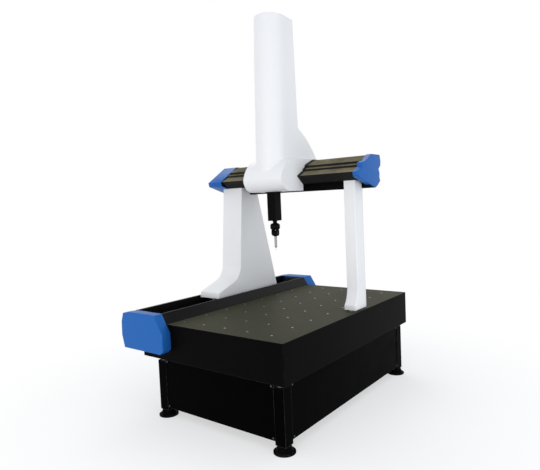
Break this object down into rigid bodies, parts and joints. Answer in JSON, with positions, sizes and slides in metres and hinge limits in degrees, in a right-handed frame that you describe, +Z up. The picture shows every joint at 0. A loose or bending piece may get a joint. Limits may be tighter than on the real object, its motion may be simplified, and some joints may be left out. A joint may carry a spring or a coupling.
{
  "type": "coordinate measuring machine",
  "caption": "Moving-bridge coordinate measuring machine: granite table on a panelled stand, covered guideway, bridge, beam with bellows, towered carriage, ram and tilting probe head.",
  "frame": {"origin": "on the floor, under the middle of the machine's bounding box", "axes": "+X along the beam to the right of someone in front of the machine, +Y from front to back along the table, +Z up"},
  "size_m": [1.479, 2.01, 2.9213],
  "materials": {
    "stand_paint": "satin black powder coat",
    "foot_paint": "black casting",
    "zinc_steel": "plated",
    "table_granite": "honed dark granite",
    "insert_steel": "turned",
    "guide_paint": "satin brown black",
    "blue_plastic": "moulded, fine grain",
    "guide_granite": "lapped black granite",
    "ground_steel": "ground",
    "scale_steel": "etched strip",
    "black_rubber": "matt",
    "white_paint": "satin white",
    "bellows_cloth": "coated cloth",
    "pad_metal": "fine milled",
    "wheel_steel": "hardened and ground",
    "motor_paint": "black",
    "reader_metal": "anodised",
    "frame_metal": "machined casting",
    "ram_black": "smooth black",
    "cylinder_metal": "drawn tube",
    "head_black": "smooth black",
    "probe_steel": "turned",
    "stem_steel": "polished",
    "tip_ruby": "polished ball"
  },
  "bodies": {
    "base": {"stand_frame": "stand_paint", "stand_feet": "foot_paint", "front_panel": "stand_paint", "rear_panel": "stand_paint", "left_panel": "stand_paint", "right_panel": "stand_paint", "panel_screws": "zinc_steel", "table_supports": "zinc_steel", "granite_table": "table_granite", "table_inserts": "insert_steel", "guide_inner_wall": "guide_paint", "guide_outer_cover": "guide_paint", "front_guide_cap": "blue_plastic", "rear_guide_cap": "blue_plastic", "guide_bar": "guide_granite", "y_drive_bar": "ground_steel", "y_scale": "scale_steel", "guide_end_plates": "zinc_steel", "travel_buffers": "black_rubber"},
    "bridge": {"left_leg": "white_paint", "right_leg": "white_paint", "x_beam": "guide_granite", "left_beam_cap": "blue_plastic", "right_beam_cap": "blue_plastic", "left_bellows": "bellows_cloth", "right_bellows": "bellows_cloth", "x_drive_bar": "ground_steel", "x_bar_brackets": "zinc_steel", "x_scale": "scale_steel", "foot_pads": "pad_metal", "side_pads": "pad_metal", "y_drive_motor": "motor_paint", "y_reader_head": "reader_metal"},
    "bridge_wheel": {"y_drive_wheel": "wheel_steel"},
    "carriage": {"carriage_shroud": "white_paint", "bellows_seals": "bellows_cloth", "carriage_frame": "frame_metal", "beam_pads": "pad_metal", "ram_pads": "pad_metal", "z_mast": "frame_metal", "ram_wiper": "ram_black", "balance_rod": "ground_steel", "x_drive_motor": "motor_paint", "z_drive_motor": "motor_paint", "x_reader_head": "reader_metal", "z_reader_head": "reader_metal"},
    "carriage_wheel": {"x_drive_wheel": "wheel_steel"},
    "ram_wheel": {"z_drive_wheel": "wheel_steel"},
    "ram": {"z_ram": "ram_black", "ram_end_plate": "ram_black", "z_scale": "scale_steel", "balance_cylinder": "cylinder_metal", "head_mount": "head_black"},
    "probe_turret": {"head_body": "head_black"},
    "probe": {"head_knuckle": "head_black", "tilt_pin": "zinc_steel", "touch_probe": "probe_steel", "stylus_stem": "stem_steel", "stylus_tip": "tip_ruby"}
  },
  "joints": [
    {"name": "bridge_travel", "type": "slide", "parent": "base", "child": "bridge", "axis": [0, 1, 0], "range_m": [-0.58, 0.34]},
    {"name": "bridge_wheel_turn", "type": "hinge", "parent": "bridge", "child": "bridge_wheel", "pos_m": [-0.4775, 0.117, 0.7413], "axis": [1, 0, 0], "range_deg": [-2000, 2000]},
    {"name": "carriage_travel", "type": "slide", "parent": "bridge", "child": "carriage", "axis": [1, 0, 0], "range_m": [-0.36, 0.42], "deforming": ["left_bellows", "right_bellows"]},
    {"name": "carriage_wheel_turn", "type": "hinge", "parent": "carriage", "child": "carriage_wheel", "pos_m": [0.155, 0.012, 1.6767], "axis": [0, 1, 0], "range_deg": [-1500, 1500]},
    {"name": "ram_travel", "type": "slide", "parent": "carriage", "child": "ram", "axis": [0, 0, 1], "range_m": [-0.42, 0.14]},
    {"name": "ram_wheel_turn", "type": "hinge", "parent": "carriage", "child": "ram_wheel", "pos_m": [0.1003, -0.0995, 2.115], "axis": [0, 1, 0], "range_deg": [-1500, 1500]},
    {"name": "head_turn", "type": "hinge", "parent": "ram", "child": "probe_turret", "pos_m": [0.04, -0.0995, 1.3517], "axis": [0, 0, 1], "range_deg": [-180, 180]},
    {"name": "head_tilt", "type": "hinge", "parent": "probe_turret", "child": "probe", "pos_m": [0.04, -0.0995, 1.2722], "axis": [1, 0, 0], "range_deg": [-105, 0]}
  ],
  "couplings": [
    {"joint": "bridge_wheel_turn", "follows": "bridge_travel", "rad_per_m": 45.455},
    {"joint": "carriage_wheel_turn", "follows": "carriage_travel", "rad_per_m": 45.455},
    {"joint": "ram_wheel_turn", "follows": "ram_travel", "rad_per_m": 45.455}
  ]
}
